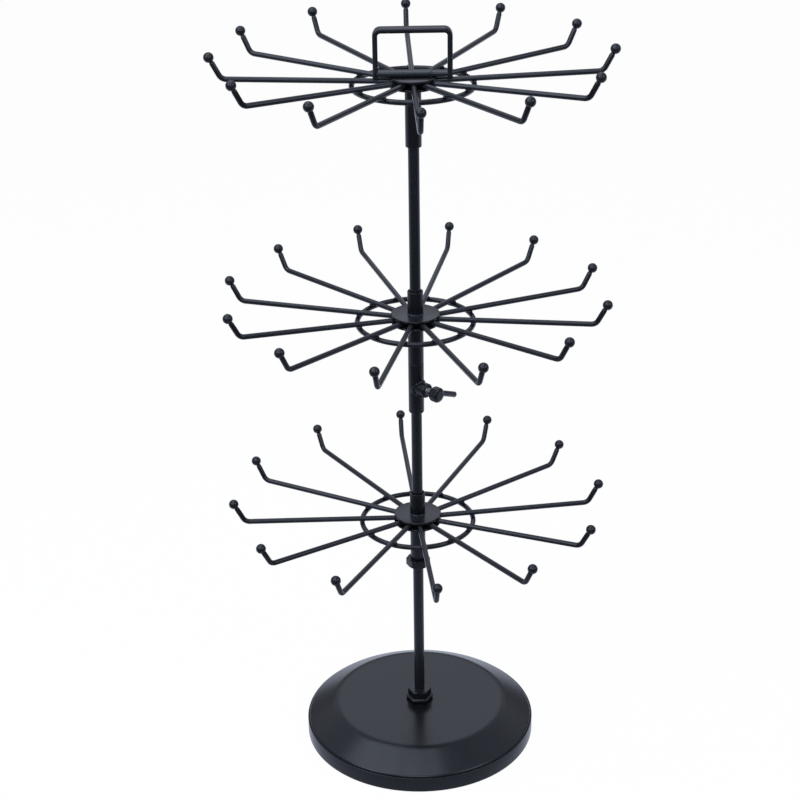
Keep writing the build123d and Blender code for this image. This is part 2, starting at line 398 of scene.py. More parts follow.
@dataclass(frozen=True)
class SatinPowderCoat:
    """Black polyester powder, sprayed on steel and baked.

    The powder flows as it melts, so the film is satin with a fine orange peel, a little thicker in
    some places than in others, and it draws thin and pale along sharp edges. Its sheen is a little
    blue. The peel's ripples are at their real spacing. The melted grains are 0.05 mm across, too
    fine to show, so they are drawn at 0.35 mm.
    """

    name: str = "satin_powder_coat"
    film: str = "#0d0e11"
    film_thick: str = "#08090b"
    thin_edge: str = "#2c3036"
    roughness: Pair = (0.2, 0.3)
    specular_level: float = 0.3
    sheen_tint: str = "#eef4ff"
    peel_size: float = 1.7
    peel_depth: float = 0.005
    grain_size: float = 0.35
    grain_range: Pair = (0.3, 0.7)
    cloud_size: float = 26.0
    edge_range: Pair = (0.53, 0.62)
    edge_share: float = 0.6

    def build(self) -> bpy.types.Material:
        """Make the finish.

        Returns:
            The material.
        """
        material, tree = new_material(self.name)
        place = add_node(tree, "ShaderNodeTexCoord").outputs["Object"]
        clouds = add_node(tree, "ShaderNodeTexNoise", {
            "Vector": place, "Scale": grain_scale(self.cloud_size), "Detail": 2.0,
        })
        peel = add_node(tree, "ShaderNodeTexNoise", {
            "Vector": place, "Scale": grain_scale(self.peel_size), "Detail": 2.0, "Roughness": 0.4,
        })
        grain = add_node(tree, "ShaderNodeTexNoise", {
            "Vector": place, "Scale": grain_scale(self.grain_size), "Detail": 1.0,
        })
        film = add_node(tree, "ShaderNodeMix", {
            "Factor": clouds.outputs["Fac"],
            COLOUR_A: linear_colour(self.film_thick),
            COLOUR_B: linear_colour(self.film),
        }, data_type="RGBA")
        edge = add_node(tree, "ShaderNodeMapRange", {
            "Value": add_node(tree, "ShaderNodeNewGeometry").outputs["Pointiness"],
            "From Min": self.edge_range[0], "From Max": self.edge_range[1],
            "To Min": 0.0, "To Max": self.edge_share,
        })
        colour = add_node(tree, "ShaderNodeMix", {
            "Factor": edge.outputs["Result"],
            COLOUR_A: film.outputs[MIXED_COLOUR],
            COLOUR_B: linear_colour(self.thin_edge),
        }, data_type="RGBA")
        gloss = add_node(tree, "ShaderNodeMapRange", {
            "Value": grain.outputs["Fac"],
            "From Min": self.grain_range[0], "From Max": self.grain_range[1],
            "To Min": self.roughness[0], "To Max": self.roughness[1],
        })
        bump = add_node(tree, "ShaderNodeBump", {
            "Height": peel.outputs["Fac"], "Distance": self.peel_depth * MILLIMETRE, "Strength": 1.0,
        })
        shader = add_node(tree, "ShaderNodeBsdfPrincipled", {
            "Base Color": colour.outputs[MIXED_COLOUR],
            "Roughness": gloss.outputs["Result"],
            "Normal": bump.outputs["Normal"],
            "Specular IOR Level": self.specular_level,
            "Specular Tint": linear_colour(self.sheen_tint),
        })
        add_node(tree, "ShaderNodeOutputMaterial", {"Surface": shader.outputs["BSDF"]})
        return material


@dataclass(frozen=True)
class ZincPlate:
    """Bright zinc, plated on a cut steel thread.

    Plating follows the cut surface, so it stays a cool, clear metal with small dull stains where it
    was handled. The stains are a few tenths of a millimetre wide and are drawn at 0.6 mm, to show.
    """

    name: str = "bright_zinc_plate"
    metal: str = "#85898f"
    dull_metal: str = "#3e4145"
    roughness: Pair = (0.18, 0.36)
    stain_size: float = 0.6

    def build(self) -> bpy.types.Material:
        """Make the finish.

        Returns:
            The material.
        """
        material, tree = new_material(self.name)
        place = add_node(tree, "ShaderNodeTexCoord").outputs["Object"]
        stain = add_node(tree, "ShaderNodeTexNoise", {
            "Vector": place, "Scale": grain_scale(self.stain_size), "Detail": 4.0,
        })
        colour = add_node(tree, "ShaderNodeMix", {
            "Factor": stain.outputs["Fac"],
            COLOUR_A: linear_colour(self.dull_metal),
            COLOUR_B: linear_colour(self.metal),
        }, data_type="RGBA")
        gloss = add_node(tree, "ShaderNodeMapRange", {
            "Value": stain.outputs["Fac"], "To Min": self.roughness[1], "To Max": self.roughness[0],
        })
        shader = add_node(tree, "ShaderNodeBsdfPrincipled", {
            "Base Color": colour.outputs[MIXED_COLOUR],
            "Metallic": 1.0,
            "Roughness": gloss.outputs["Result"],
        })
        add_node(tree, "ShaderNodeOutputMaterial", {"Surface": shader.outputs["BSDF"]})
        return material


@dataclass(frozen=True)
class MouldedRubber:
    """Black rubber, moulded in a stippled tool so that it grips the table.

    The tool leaves it matt and a little dusty. Its stipple is 0.2 mm across, too fine to show, so it
    is drawn at 0.5 mm.
    """

    name: str = "moulded_rubber"
    body: str = "#1b1b1c"
    dusty: str = "#2a2a2b"
    roughness: float = 0.86
    stipple_size: float = 0.5
    stipple_depth: float = 0.03

    def build(self) -> bpy.types.Material:
        """Make the finish.

        Returns:
            The material.
        """
        material, tree = new_material(self.name)
        place = add_node(tree, "ShaderNodeTexCoord").outputs["Object"]
        stipple = add_node(tree, "ShaderNodeTexNoise", {
            "Vector": place, "Scale": grain_scale(self.stipple_size), "Detail": 1.0,
        })
        colour = add_node(tree, "ShaderNodeMix", {
            "Factor": stipple.outputs["Fac"],
            COLOUR_A: linear_colour(self.body),
            COLOUR_B: linear_colour(self.dusty),
        }, data_type="RGBA")
        bump = add_node(tree, "ShaderNodeBump", {
            "Height": stipple.outputs["Fac"], "Distance": self.stipple_depth * MILLIMETRE,
        })
        shader = add_node(tree, "ShaderNodeBsdfPrincipled", {
            "Base Color": colour.outputs[MIXED_COLOUR],
            "Roughness": self.roughness,
            "Normal": bump.outputs["Normal"],
        })
        add_node(tree, "ShaderNodeOutputMaterial", {"Surface": shader.outputs["BSDF"]})
        return material


@dataclass(frozen=True)
class MillSteel:
    """Steel plate as it comes hot from the mill's rolls.

    Scale grows on it as it cools and flakes in places, which leaves blue-grey patches about 9 mm
    across, half dull, between barer and paler steel.
    """

    name: str = "mill_steel"
    scale_colour: str = "#6d6f74"
    bare_colour: str = "#8e9095"
    roughness: float = 0.5
    patch_size: float = 9.0

    def build(self) -> bpy.types.Material:
        """Make the finish.

        Returns:
            The material.
        """
        material, tree = new_material(self.name)
        place = add_node(tree, "ShaderNodeTexCoord").outputs["Object"]
        patches = add_node(tree, "ShaderNodeTexNoise", {
            "Vector": place, "Scale": grain_scale(self.patch_size), "Detail": 6.0,
        })
        colour = add_node(tree, "ShaderNodeMix", {
            "Factor": patches.outputs["Fac"],
            COLOUR_A: linear_colour(self.scale_colour),
            COLOUR_B: linear_colour(self.bare_colour),
        }, data_type="RGBA")
        shader = add_node(tree, "ShaderNodeBsdfPrincipled", {
            "Base Color": colour.outputs[MIXED_COLOUR],
            "Metallic": 1.0,
            "Roughness": self.roughness,
        })
        add_node(tree, "ShaderNodeOutputMaterial", {"Surface": shader.outputs["BSDF"]})
        return material


@dataclass
class Finishes:
    """The stand's four finishes, each made once."""

    coat: bpy.types.Material = field(default_factory=lambda: SatinPowderCoat().build())
    zinc: bpy.types.Material = field(default_factory=lambda: ZincPlate().build())
    rubber: bpy.types.Material = field(default_factory=lambda: MouldedRubber().build())
    steel: bpy.types.Material = field(default_factory=lambda: MillSteel().build())


# Sub-assemblies


def turned_tube(draft: MeshDraft, outer: float, bore: float, low: float, high: float,
                low_round: float, high_round: float) -> None:
    """Add an upright tube whose outer rims are rounded.

    Args:
        draft: the piece that it belongs to.
        outer: its outer radius.
        bore: its inner radius.
        low: the height of its foot.
        high: the height of its top.
        low_round: the rounding of its foot.
        high_round: the rounding of its top.
    """
    inner_round = 0.15
    draft.lathe(round_corners([
        (outer, low, low_round),
        (outer, high, high_round),
        (bore, high, inner_round),
        (bore, low, inner_round),
    ]), steps=48)


def hex_body(draft: MeshDraft, across_flats: float, length: float, bevel: float, place: Matrix,
             bore: float = 0.0, softness: float = 0.2) -> None:
    """Add a hexagonal nut or head with turned, sloping ends.

    Args:
        draft: the piece that it belongs to.
        across_flats: its width across the flats.
        length: its length along its axis.
        bevel: how far in its turned ends start.
        place: where its first end and its axis are.
        bore: the radius of its hole, or 0 for none.
        softness: the rounding of its turned edges.
    """
    steps = 96
    rise = 0.5
    corner_softness = 0.25
    corner = across_flats / 2 / math.cos(HEXAGON_SIDE / 2) - corner_softness
    profile = round_corners([
        (bore, 0.0, 0.0),
        (corner - bevel, 0.0, softness),
        (corner, bevel * rise, softness),
        (corner, length - bevel * rise, softness),
        (corner - bevel, length, softness),
        (bore, length, 0.0),
    ], closed=False, steps=3)
    rings = []
    for radius, height in profile:
        if radius == 0:
            rings.append([place @ Vector((0.0, 0.0, height))])
            continue
        ring = []
        for step in range(steps):
            angle = FULL_TURN * step / steps
            reach = min(radius, hexagon_radius(angle, across_flats))
            ring.append(place @ Vector((reach * math.cos(angle), reach * math.sin(angle), height)))
        rings.append(ring)
    draft.skin(rings, closed=bore > 0)


@dataclass
class WeightedBase:
    """The round base: rimmed pan, pressed cover, pads, ballast and the nuts on the pole.

    Sizes are in millimetres, here and in the next three classes. dimple_radii are the radii of a
    pad's dimple at its floor and at its mouth.
    """

    finishes: Finishes
    rim_radius: float = 76.0
    rim_wall: float = 0.8
    rim_round: float = 0.35
    inner_round: float = 0.3
    rim_height: float = 11.0
    floor_sheet: float = 1.0
    cover_gap: float = 0.1
    cover_sheet: float = 1.2
    cover_step: float = 0.9
    plateau_corner: float = 56.5
    plateau_round: float = 11.0
    lip_round: float = 2.2
    hole_round: float = 0.2
    inner_shoulder_round: float = 0.4
    pole_radius: float = 3.4
    nut_bevel: float = 0.9
    flange_bevel: float = 1.7
    pad_radius: float = 6.0
    pad_circle: float = 63.0
    pad_count: int = 4
    pad_round: float = 0.6
    dimple_radii: Pair = (1.2, 1.8)
    dimple_depth: float = 0.4
    dimple_round: float = 0.2
    steps: int = 192

    def pan(self) -> None:
        """Build the pan, whose wall is the rim band."""
        floor = node_box("foot_pads")[1].z
        foot = node_box("base_pan")[0].z
        inner = self.rim_radius - self.rim_wall
        draft = MeshDraft()
        draft.lathe(round_corners([
            (0.0, floor, 0.0),
            (inner, floor, self.inner_round),
            (inner, foot, self.inner_round),
            (self.rim_radius, foot, self.rim_round),
            (self.rim_radius, self.rim_height, self.rim_round),
            (inner, self.rim_height, self.inner_round),
            (inner, floor + self.floor_sheet, self.inner_round),
            (0.0, floor + self.floor_sheet, 0.0),
        ]), steps=self.steps)
        piece = draft.make("base_rimmed_pan", self.finishes.coat)
        place_piece(piece, "base", Slot.POWDER_COAT, "base_pan")

    def cover(self) -> None:
        """Build the pressed cover with its soft shoulder."""
        low, high = node_box("base_cover")
        outer = self.rim_radius - self.rim_wall - self.cover_gap
        skirt = self.rim_height + self.cover_step
        inner = outer - self.cover_sheet
        draft = MeshDraft()
        draft.lathe(round_corners([
            (self.pole_radius, high.z, self.hole_round),
            (self.plateau_corner, high.z, self.plateau_round),
            (outer, skirt, self.lip_round),
            (outer, low.z, self.inner_round),
            (inner, low.z, self.inner_round),
            (inner, skirt - self.cover_sheet / 2, self.inner_shoulder_round),
            (self.plateau_corner - self.cover_sheet / 3, high.z - self.cover_sheet, self.plateau_round),
            (self.pole_radius, high.z - self.cover_sheet, self.hole_round),
        ], steps=10), steps=self.steps)
        piece = draft.make("base_pressed_cover", self.finishes.coat)
        place_piece(piece, "base", Slot.POWDER_COAT, "base_cover")

    def pads(self) -> None:
        """Build the four rubber pads with a soft rim and a moulding dimple."""
        low, high = node_box("foot_pads")
        draft = MeshDraft()
        for number in range(self.pad_count):
            angle = FULL_TURN * (number + 0.5) / self.pad_count
            across = self.pad_circle * math.cos(angle)
            along = self.pad_circle * math.sin(angle)
            place = Matrix.Translation((across, along, 0))
            draft.lathe(round_corners([
                (0.0, low.z + self.dimple_depth, 0.0),
                (self.dimple_radii[0], low.z + self.dimple_depth, self.dimple_round),
                (self.dimple_radii[1], low.z, self.dimple_round),
                (self.pad_radius, low.z, self.pad_round),
                (self.pad_radius, high.z, 0.0),
                (0.0, high.z, 0.0),
            ], steps=4), place, steps=48)
        place_piece(draft.make("rubber_pads", self.finishes.rubber), "base", Slot.RUBBER, "foot_pads")

    def nuts(self) -> None:
        """Build the hex nuts that stand round the pole."""
        for node in ("base_flange_nut", "pole_lock_nut", "underside_nut", "stop_nut"):
            low, high = node_box(node)
            material = self.finishes.zinc if node == "underside_nut" else self.finishes.coat
            slot = Slot.ZINC_PLATE if node == "underside_nut" else Slot.POWDER_COAT
            draft = MeshDraft()
            place = Matrix.Translation((0, 0, low.z)) @ Matrix.Rotation(HEXAGON_SIDE / 2, 4, "Z")
            bevel = self.flange_bevel if node == "base_flange_nut" else self.nut_bevel
            hex_body(draft, high.y - low.y, high.z - low.z, bevel, place, self.pole_radius)
            place_piece(draft.make(f"{node}_turned", material), "base", slot, node)

    def build(self) -> None:
        """Build the whole base."""
        self.pan()
        self.cover()
        self.pads()
        self.nuts()
        dress_node("ballast", self.finishes.steel)
        dress_node("pole", self.finishes.coat)


@dataclass
class HookWheel:
    """One turning tier: hub tube, two discs, ring and ball-tipped wires, all welded.

    turn is the angle of the first wire, wire_slope that of the wires' rise and upturn that of their
    ends, in degrees. neck_steps are the rings of the drawn-in neck: how far each is from the ball,
    and its share of the wire's radius. bead_hollow is the middle of the hollow bead, out and up, as
    shares of its width. weld_size is half a drop's length, half its width and half its height.
    """

    finishes: Finishes
    name: str
    turn: float
    disc_radius: float
    hub_top: HubTop
    hook_count: int = 12
    wire_radius: float = 1.65
    wire_slope: float = 2.0
    root_radius: float = 6.9
    tip_circle: float = 118.0
    tip_rise: float = 13.0
    upturn: float = 62.4
    bend_radius: float = 5.0
    neck_radius: float = 1.35
    ball_radius: float = 3.1
    disc_sheet: float = 1.4
    disc_round: float = 0.5
    tube_radius: float = 4.88
    bore_radius: float = 4.0
    ring_radius: float = 35.9
    tube_rim_round: float = 0.35
    running_gap: float = 0.03
    bead_width: float = 0.45
    bead_sink: float = 0.2
    bead_hollow: Pair = (0.45, 0.35)
    wire_end_cut: float = 1.3
    neck_steps: tuple[Pair, ...] = ((0.9, 0.94), (0.5, 0.84), (0.15, 0.79))
    ball_rows: int = 12
    weld_size: Triple = (2.3, 1.5, 0.9)
    wire_steps: int = 20

    @property
    def body(self) -> str:
        """The body that this tier is."""
        return f"{self.name}_tier"

    @property
    def plane(self) -> float:
        """The height of the wires' middles at their roots."""
        return node_box(f"{self.name}_hub_discs")[0].z + self.disc_sheet + self.wire_radius

    def rise(self, radius: float) -> float:
        """Return how far a wire's middle has risen at a distance from the pole's axis."""
        return (radius - self.root_radius) * math.tan(math.radians(self.wire_slope))

    def tube(self) -> None:
        """Build the hub tube with its rolled rims."""
        low, high = node_box(f"{self.name}_hub_tube")
        draft = MeshDraft()
        turned_tube(draft, self.tube_radius, self.bore_radius, low.z + self.running_gap, high.z,
                    self.tube_rim_round, self.tube_rim_round)
        piece = draft.make(f"{self.name}_rolled_tube", self.finishes.coat)
        place_piece(piece, self.body, Slot.POWDER_COAT, f"{self.name}_hub_tube")

    def discs(self) -> None:
        """Build both hub discs with blanked, softened rims and the bead round the tube."""
        low, high = node_box(f"{self.name}_hub_discs")
        draft = MeshDraft()
        inner = 0.0 if self.hub_top is HubTop.CLOSED else self.tube_radius
        for foot, hole in ((high.z - self.disc_sheet, inner), (low.z, self.tube_radius)):
            draft.lathe(round_corners([
                (hole, foot, 0.0),
                (self.disc_radius, foot, self.disc_round),
                (self.disc_radius, foot + self.disc_sheet, self.disc_round),
                (hole, foot + self.disc_sheet, 0.0),
            ], steps=5), steps=96)
        if self.hub_top is HubTop.OPEN:
            self.bead(draft, high.z, 1.0)
        self.bead(draft, low.z, -1.0)
        piece = draft.make(f"{self.name}_welded_discs", self.finishes.coat)
        place_piece(piece, self.body, Slot.POWDER_COAT, f"{self.name}_hub_discs")

    def bead(self, draft: MeshDraft, height: float, way: float) -> None:
        """Add the hollow weld bead between the tube and a disc.

        Args:
            draft: the piece that it belongs to.
            height: the height of the disc's face.
            way: 1 for a bead that stands on the face, -1 for one that hangs under it.
        """
        width = self.bead_width
        across, up = self.bead_hollow
        root = self.tube_radius - self.bead_sink
        foot = height - way * self.bead_sink
        draft.lathe([
            (root, foot),
            (self.tube_radius + width, foot),
            (self.tube_radius + width * across, height + way * width * up),
            (root, height + way * width),
        ], steps=64)

    def ring(self) -> None:
        """Build the wire ring and the weld drop under each wire."""
        low, high = node_box(f"{self.name}_support_ring")
        middle = (low.z + high.z) / 2
        draft = MeshDraft()
        wire = circle(self.wire_radius, steps=16)
        draft.lathe([(self.ring_radius + x, middle + y) for x, y in wire], steps=128)
        dice = random.Random(f"{self.name} ring")
        for number in range(self.hook_count):
            angle = math.radians(self.turn) + FULL_TURN * number / self.hook_count
            outward = Vector((math.cos(angle), math.sin(angle), 0))
            sideways = Vector((-math.sin(angle), math.cos(angle), 0))
            contact = outward * self.ring_radius + Vector((0, 0, middle + self.wire_radius))
            draft.lump(contact, sideways, Vector((0, 0, 1)), self.weld_size, dice)
        piece = draft.make(f"{self.name}_welded_ring", self.finishes.coat)
        place_piece(piece, self.body, Slot.POWDER_COAT, f"{self.name}_support_ring")

    def hook_draft(self) -> MeshDraft:
        """Draft one wire along +X: straight run, bend, drawn-in neck and ball.

        Returns:
            The draft, which each wire of the tier is a turned copy of.
        """
        upturn = math.radians(self.upturn)
        vertex = self.tip_circle - self.tip_rise / math.tan(upturn)
        tip = Vector((self.tip_circle, 0, self.plane + self.rise(vertex) + self.tip_rise))
        heading = Vector((math.cos(upturn), 0, math.sin(upturn)))
        neck_depth = math.sqrt(self.ball_radius ** 2 - self.neck_radius ** 2)
        wire_end = tip - heading * (neck_depth + self.wire_end_cut)
        route = round_corners([
            (self.root_radius, self.plane, 0.0),
            (vertex, self.plane + self.rise(vertex), self.bend_radius),
            (wire_end.x, wire_end.z, 0.0),
        ], closed=False, steps=10)
        path = [Vector((x, 0, z)) for x, z in route]
        scales = [self.wire_radius] * len(path)
        for reach, share in self.neck_steps:
            path.append(tip - heading * (neck_depth + reach))
            scales.append(self.wire_radius * share)
        rows = self.ball_rows
        first = -math.acos(self.neck_radius / self.ball_radius)
        for row in range(rows + 1):
            latitude = first + (math.pi / 2 - first) * row / rows
            path.append(tip + heading * (self.ball_radius * math.sin(latitude)))
            scales.append(self.ball_radius * math.cos(latitude) if row < rows else 0.0)
        draft = MeshDraft()
        sides = [Vector((0, 1, 0))] * len(path)
        draft.sweep(path, circle(1.0, self.wire_steps), sides, scales)
        draft.faces.append(list(range(self.wire_steps)))
        return draft

    def hooks(self) -> None:
        """Build the ball-tipped wires, each a turned copy of the first."""
        draft = self.hook_draft()
        for number in range(self.hook_count):
            name = f"{self.name}_hook_{number + 1:02d}"
            piece = draft.make(f"{name}_drawn_wire", self.finishes.coat)
            angle = math.radians(self.turn) + FULL_TURN * number / self.hook_count
            piece.data.transform(Matrix.Rotation(angle, 4, "Z"))
            place_piece(piece, self.body, Slot.POWDER_COAT, name)

    def build(self) -> None:
        """Build the whole tier."""
        self.tube()
        self.discs()
        self.ring()
        self.hooks()


@dataclass
class ClampCollar:
    """The sliding collar with its welded boss, and the clamp screw with its lever.

    azimuth is the screw's direction and lever_tilt the lever's fall, in degrees. Places along the
    screw are measured from the pole's axis, and places along the lever from the screw's axis.
    bead_place is how far the middle of the root's weld lies off the boss and off the collar, and
    bead_ripples are its waves: how many go round, and how high they are. lever_fillet is the
    coat's ring in the corner of lever and head, out from the one and off the other.
    """

    finishes: Finishes
    azimuth: float = -44.0
    collar_radius: float = 4.88
    bore_radius: float = 3.6
    collar_foot_round: float = 1.0
    collar_top_round: float = 0.35
    boss_radius: float = 4.6
    boss_reach: float = 10.2
    boss_bevel: float = 0.9
    boss_round: float = 0.35
    boss_seat: float = 6.0
    boss_sink: float = 0.2
    mouth_bevel: float = 0.5
    mouth_round: float = 0.1
    bead_radius: float = 0.85
    bead_place: Pair = (0.25, 0.05)
    bead_ripples: tuple[tuple[int, float], ...] = ((11, 0.2), (4, 0.12))
    screw_radius: float = 2.5
    tapped_radius: float = 2.62
    thread_pitch: float = 0.8
    thread_depth: float = 0.42
    screw_tip: float = 3.6
    tip_length: float = 1.2
    tip_bevel: float = 0.6
    head_start: float = 14.0
    head_length: float = 6.4
    head_flats: float = 8.8
    head_bevel: float = 1.9
    head_softness: float = 0.8
    lever_radius: float = 1.85
    lever_reach: float = 18.2
    lever_seat_depth: float = 3.0
    lever_tilt: float = 23.2
    lever_offset: float = 1.4
    lever_end_round: float = 0.25
    lever_fillet: tuple[Pair, ...] = ((-0.1, -0.5), (0.55, -0.5), (0.3, 0.25), (-0.1, 0.6))

    @property
    def height(self) -> float:
        """The height of the screw's axis."""
        low, high = node_box("clamp_boss")
        return (low.z + high.z) / 2

    @property
    def axis_place(self) -> Matrix:
        """A frame on the screw's axis.

        Returns:
            The frame, whose Z runs out along the screw and whose X points up.
        """
        angle = math.radians(self.azimuth)
        out = Vector((math.cos(angle), math.sin(angle), 0))
        up = Vector((0, 0, 1))
        frame_matrix = Matrix((up, out.cross(up), out)).transposed().to_4x4()
        return Matrix.Translation((0, 0, self.height)) @ frame_matrix

    def collar(self) -> None:
        """Build the collar with its rounded foot."""
        low, high = node_box("clamp_collar")
        draft = MeshDraft()
        turned_tube(draft, self.collar_radius, self.bore_radius, low.z, high.z,
                    self.collar_foot_round, self.collar_top_round)
        piece = draft.make("collar_sleeve", self.finishes.coat)
        place_piece(piece, "collar", Slot.POWDER_COAT, "clamp_collar")

    def saddle(self, radius: float, shell: float, steps: int) -> list[Vector]:
        """Return a ring round the screw's axis that lies on the collar's round wall.

        Args:
            radius: the ring's radius seen along the screw.
            shell: the radius of the round wall that it lies on.
            steps: the ring's points.

        Returns:
            The points, in the stand's own frame.
        """
        shallowest = 1.0
        points = []
        for up, side in circle(radius, steps):
            depth = math.sqrt(max(shell ** 2 - side ** 2, shallowest))
            points.append(self.axis_place @ Vector((up, side, depth)))
        return points

    def boss(self) -> None:
        """Build the threaded boss, its countersunk mouth and the weld round its root."""
        steps = 64
        place = self.axis_place
        draft = MeshDraft()
        profile = round_corners([
            (self.boss_radius, self.boss_seat, 0.0),
            (self.boss_radius, self.boss_reach - self.boss_bevel, self.boss_round),
            (self.boss_radius - self.boss_bevel, self.boss_reach, self.boss_round),
            (self.tapped_radius + self.mouth_bevel, self.boss_reach, self.mouth_round),
            (self.tapped_radius, self.boss_reach - self.mouth_bevel, 0.0),
            (self.tapped_radius, self.boss_seat, 0.0),
        ], closed=False, steps=4)
        rings = [self.saddle(self.boss_radius, self.collar_radius - self.boss_sink, steps)]
        for radius, reach in profile:
            rings.append([place @ Vector((x, y, reach)) for x, y in circle(radius, steps)])
        draft.skin(rings)
        beyond, above = self.bead_place
        root = self.saddle(self.boss_radius + beyond, self.collar_radius + above, steps * 2)
        centre = place @ Vector((0, 0, self.collar_radius))
        sides = [(point - centre).normalized() for point in root]
        scales = []
        for index in range(len(root)):
            turn = FULL_TURN * index / len(root)
            ripple = 1.0
            for waves, swell in self.bead_ripples:
                ripple += swell * math.sin(waves * turn)
            scales.append(self.bead_radius * ripple)
        draft.sweep(root, circle(1.0, steps=10), sides, scales, closed=True)
        piece = draft.make("welded_boss", self.finishes.coat)
        place_piece(piece, "collar", Slot.POWDER_COAT, "clamp_boss")

    def screw(self) -> None:
        """Build the screw's shank with its helical thread."""
        steps = 48
        rows_each_pitch = 8
        length = self.head_start - self.screw_tip
        rows = round(length / self.thread_pitch * rows_each_pitch)
        place = self.axis_place
        rings = [[place @ Vector((0, 0, self.screw_tip))]]
        for row in range(rows + 1):
            along = length * row / rows
            crest = self.screw_radius - self.tip_bevel * max(0.0, 1 - along / self.tip_length)
            ring = []
            for step in range(steps):
                phase = (along / self.thread_pitch - step / steps) % 1.0
                radius = crest - self.thread_depth * abs(2 * phase - 1)
                angle = FULL_TURN * step / steps
                up, side = radius * math.cos(angle), radius * math.sin(angle)
                ring.append(place @ Vector((up, side, self.screw_tip + along)))
            rings.append(ring)
        draft = MeshDraft()
        draft.skin(rings)
        draft.faces.append(list(range(len(draft.points) - steps, len(draft.points))))
        piece = draft.make("threaded_shank", self.finishes.zinc)
        place_piece(piece, "clamp_screw", Slot.ZINC_PLATE, "clamp_screw")

    def head(self) -> None:
        """Build the screw's hexagonal head with turned ends."""
        draft = MeshDraft()
        place = self.axis_place @ Matrix.Translation((0, 0, self.head_start))
        hex_body(draft, self.head_flats, self.head_length, self.head_bevel, place,
                 softness=self.head_softness)
        piece = draft.make("hex_screw_head", self.finishes.coat)
        place_piece(piece, "screw_handle", Slot.POWDER_COAT, "screw_head")

    def lever(self) -> None:
        """Build the lever with its cropped end, and the coat's fillet where it leaves the head."""
        half_way = self.head_start + self.head_length / 2
        middle = self.axis_place @ Vector((self.lever_offset, 0, half_way))
        angle = math.radians(self.azimuth)
        level = Vector((-math.sin(angle), math.cos(angle), 0))
        tilt = math.radians(self.lever_tilt)
        along = level * math.cos(tilt) - Vector((0, 0, math.sin(tilt)))
        place = Matrix.Translation(middle) @ along.to_track_quat("Z", "X").to_matrix().to_4x4()
        radius = self.lever_radius
        mouth = self.head_flats / 2
        draft = MeshDraft()
        draft.lathe(round_corners([
            (0.0, -self.lever_seat_depth, 0.0),
            (radius, -self.lever_seat_depth, 0.0),
            (radius, self.lever_reach, self.lever_end_round),
            (0.0, self.lever_reach, 0.0),
        ], steps=4), place, steps=40)
        draft.lathe([(radius + out, mouth + on) for out, on in self.lever_fillet], place, steps=40)
        piece = draft.make("cropped_screw_lever", self.finishes.coat)
        place_piece(piece, "screw_handle", Slot.POWDER_COAT, "screw_lever")

    def build(self) -> None:
        """Build the whole clamp."""
        self.collar()
        self.boss()
        self.screw()
        self.head()
        self.lever()


@dataclass
class CarryHandle:
    """The flat bar that is bent to a loop, butted on the strap and welded to the top hub.

    A weld's three sizes are half its length, half its width and half its height.
    """

    finishes: Finishes
    span: float = 43.5
    thickness: float = 3.0
    depth: float = 7.2
    edge_round: float = 1.0
    corner_radius: float = 3.3
    joint_place: float = 10.2
    joint_gap: float = 0.25
    short_end_drop: float = 0.35
    joint_weld: Triple = (2.2, 1.1, 0.8)
    joint_weld_drop: float = 0.4
    corner_weld: Triple = (2.6, 1.9, 0.8)
    corner_weld_lift: float = 0.1
    top_weld: Triple = (3.0, 0.9, 0.4)

    def build(self) -> None:
        """Build the loop, the strap with its butt joint, and the welds."""
        low, high = node_box("carry_handle")
        strap_low = node_box("upper_hub_discs")[1].z
        across = Vector((0, 1, 0))
        half = self.span / 2
        top = high.z - self.thickness / 2
        section = bar_section(self.depth, self.thickness, self.edge_round)
        draft = MeshDraft()
        route = round_corners([
            (-half, low.z, 0.0),
            (-half, top, self.corner_radius),
            (half, top, self.corner_radius),
            (half, low.z, 0.0),
        ], closed=False, steps=10)
        draft.sweep([Vector((x, 0, z)) for x, z in route], section, [across] * len(route), capped=True)
        strap = strap_low + self.thickness / 2
        ends = [Vector((-half, 0, strap)), Vector((self.joint_place, 0, strap))]
        draft.sweep(ends, section, [across] * 2, capped=True)
        slim = bar_section(self.depth - self.short_end_drop, self.thickness - self.short_end_drop,
                           self.edge_round)
        short = strap - self.short_end_drop / 2
        ends = [Vector((self.joint_place + self.joint_gap, 0, short)), Vector((half, 0, short))]
        draft.sweep(ends, slim, [across] * 2, capped=True)
        dice = random.Random("handle welds")
        up = Vector((0, 0, 1))
        joint = self.joint_place + self.joint_gap / 2
        for side in (-1, 1):
            face = Vector((joint, side * self.depth / 2, strap - self.joint_weld_drop))
            draft.lump(face, up, across * side, self.joint_weld, dice)
            corner = Vector((side * half, 0, low.z + self.corner_weld_lift))
            draft.lump(corner, across, up, self.corner_weld, dice)
        draft.lump(Vector((joint, 0, strap + self.thickness / 2)), across, up, self.top_weld, dice)
        piece = draft.make("bent_bar_handle", self.finishes.coat)
        place_piece(piece, "upper_tier", Slot.POWDER_COAT, "carry_handle")


# Studio


